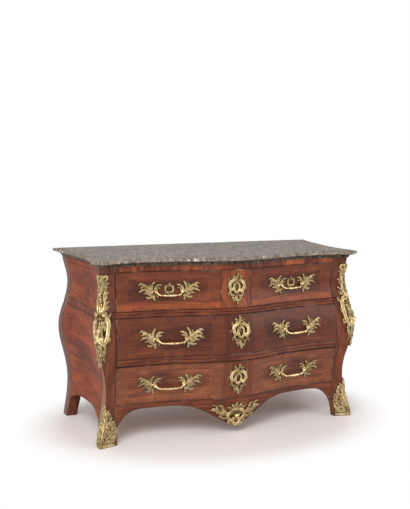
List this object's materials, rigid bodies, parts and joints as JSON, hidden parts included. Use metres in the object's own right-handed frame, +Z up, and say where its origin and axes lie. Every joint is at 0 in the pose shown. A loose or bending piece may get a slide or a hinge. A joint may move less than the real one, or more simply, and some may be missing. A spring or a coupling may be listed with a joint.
{
  "type": "commode chest",
  "caption": "Bombe serpentine commode chest with a moulded marble top, veneered drawers on slides, swinging bail handles, shaped apron and cast leafy mounts.",
  "frame": {"origin": "on the floor, under the middle of the box round the chest", "axes": "+X to the right along the drawers, -Y out of the drawer fronts, +Z up"},
  "size_m": [1.4728, 0.6682, 0.86],
  "materials": {
    "kingwood": "satin",
    "railwood": "satin",
    "oak": "matte",
    "gilt": "satin",
    "marble": "satin"
  },
  "bodies": {
    "case": {"front_stile_right": "kingwood", "front_stile_left": "kingwood", "rear_stile_right": "kingwood", "rear_stile_left": "kingwood", "side_panel_right": "kingwood", "side_panel_left": "kingwood", "apron": "kingwood", "centre_post": "kingwood", "top_front_rail": "railwood", "upper_rail": "railwood", "lower_rail": "railwood", "top_rear_rail": "oak", "back_panel": "oak", "centre_partition": "oak", "upper_dust_board": "oak", "lower_dust_board": "oak", "bottom_board": "oak", "marble_top": "marble", "escutcheon_top": "gilt", "chute_right": "gilt", "chute_left": "gilt", "sabot_right": "gilt", "sabot_left": "gilt", "apron_mount": "gilt"},
    "drawer_top_left": {"drawer_top_left_front": "kingwood", "drawer_top_left_box": "oak", "drawer_top_left_bottom": "oak", "handle_top_left_plate_left": "gilt", "handle_top_left_plate_right": "gilt", "escutcheon_top_left": "gilt"},
    "drawer_top_right": {"drawer_top_right_front": "kingwood", "drawer_top_right_box": "oak", "drawer_top_right_bottom": "oak", "handle_top_right_plate_left": "gilt", "handle_top_right_plate_right": "gilt", "escutcheon_top_right": "gilt"},
    "drawer_middle": {"drawer_middle_front": "kingwood", "drawer_middle_box": "oak", "drawer_middle_bottom": "oak", "handle_middle_left_plate_left": "gilt", "handle_middle_left_plate_right": "gilt", "handle_middle_right_plate_left": "gilt", "handle_middle_right_plate_right": "gilt", "escutcheon_middle": "gilt"},
    "drawer_bottom": {"drawer_bottom_front": "kingwood", "drawer_bottom_box": "oak", "drawer_bottom_bottom": "oak", "handle_bottom_left_plate_left": "gilt", "handle_bottom_left_plate_right": "gilt", "handle_bottom_right_plate_left": "gilt", "handle_bottom_right_plate_right": "gilt", "escutcheon_bottom": "gilt"},
    "bail_top_left": {"handle_top_left_bail": "gilt"},
    "bail_top_right": {"handle_top_right_bail": "gilt"},
    "bail_middle_left": {"handle_middle_left_bail": "gilt"},
    "bail_middle_right": {"handle_middle_right_bail": "gilt"},
    "bail_bottom_left": {"handle_bottom_left_bail": "gilt"},
    "bail_bottom_right": {"handle_bottom_right_bail": "gilt"}
  },
  "joints": [
    {"name": "drawer_top_left_slide", "type": "slide", "parent": "case", "child": "drawer_top_left", "axis": [0, -1, 0], "range_m": [0, 0.36]},
    {"name": "drawer_top_right_slide", "type": "slide", "parent": "case", "child": "drawer_top_right", "axis": [0, -1, 0], "range_m": [0, 0.36]},
    {"name": "drawer_middle_slide", "type": "slide", "parent": "case", "child": "drawer_middle", "axis": [0, -1, 0], "range_m": [0, 0.36]},
    {"name": "drawer_bottom_slide", "type": "slide", "parent": "case", "child": "drawer_bottom", "axis": [0, -1, 0], "range_m": [0, 0.36]},
    {"name": "bail_top_left_swing", "type": "hinge", "parent": "drawer_top_left", "child": "bail_top_left", "pos_m": [-0.32286, -0.21435, 0.696], "axis": [-0.9854, 0.17, -0.0001], "range_deg": [0, 85]},
    {"name": "bail_top_right_swing", "type": "hinge", "parent": "drawer_top_right", "child": "bail_top_right", "pos_m": [0.33974, -0.21165, 0.696], "axis": [-0.9887, -0.1496, 0.0001], "range_deg": [0, 85]},
    {"name": "bail_middle_left_swing", "type": "hinge", "parent": "drawer_middle", "child": "bail_middle_left", "pos_m": [-0.33084, -0.2757, 0.48152], "axis": [-0.9854, 0.1704, 0.0002], "range_deg": [0, 85]},
    {"name": "bail_middle_right_swing", "type": "hinge", "parent": "drawer_middle", "child": "bail_middle_right", "pos_m": [0.33977, -0.27426, 0.48153], "axis": [-0.987, -0.161, -0.0003], "range_deg": [0, 85]},
    {"name": "bail_bottom_left_swing", "type": "hinge", "parent": "drawer_bottom", "child": "bail_bottom_left", "pos_m": [-0.33079, -0.24806, 0.25873], "axis": [-0.9874, 0.1583, 0.0001], "range_deg": [0, 85]},
    {"name": "bail_bottom_right_swing", "type": "hinge", "parent": "drawer_bottom", "child": "bail_bottom_right", "pos_m": [0.33973, -0.24666, 0.25873], "axis": [-0.989, -0.1478, -0.0001], "range_deg": [0, 85]}
  ]
}
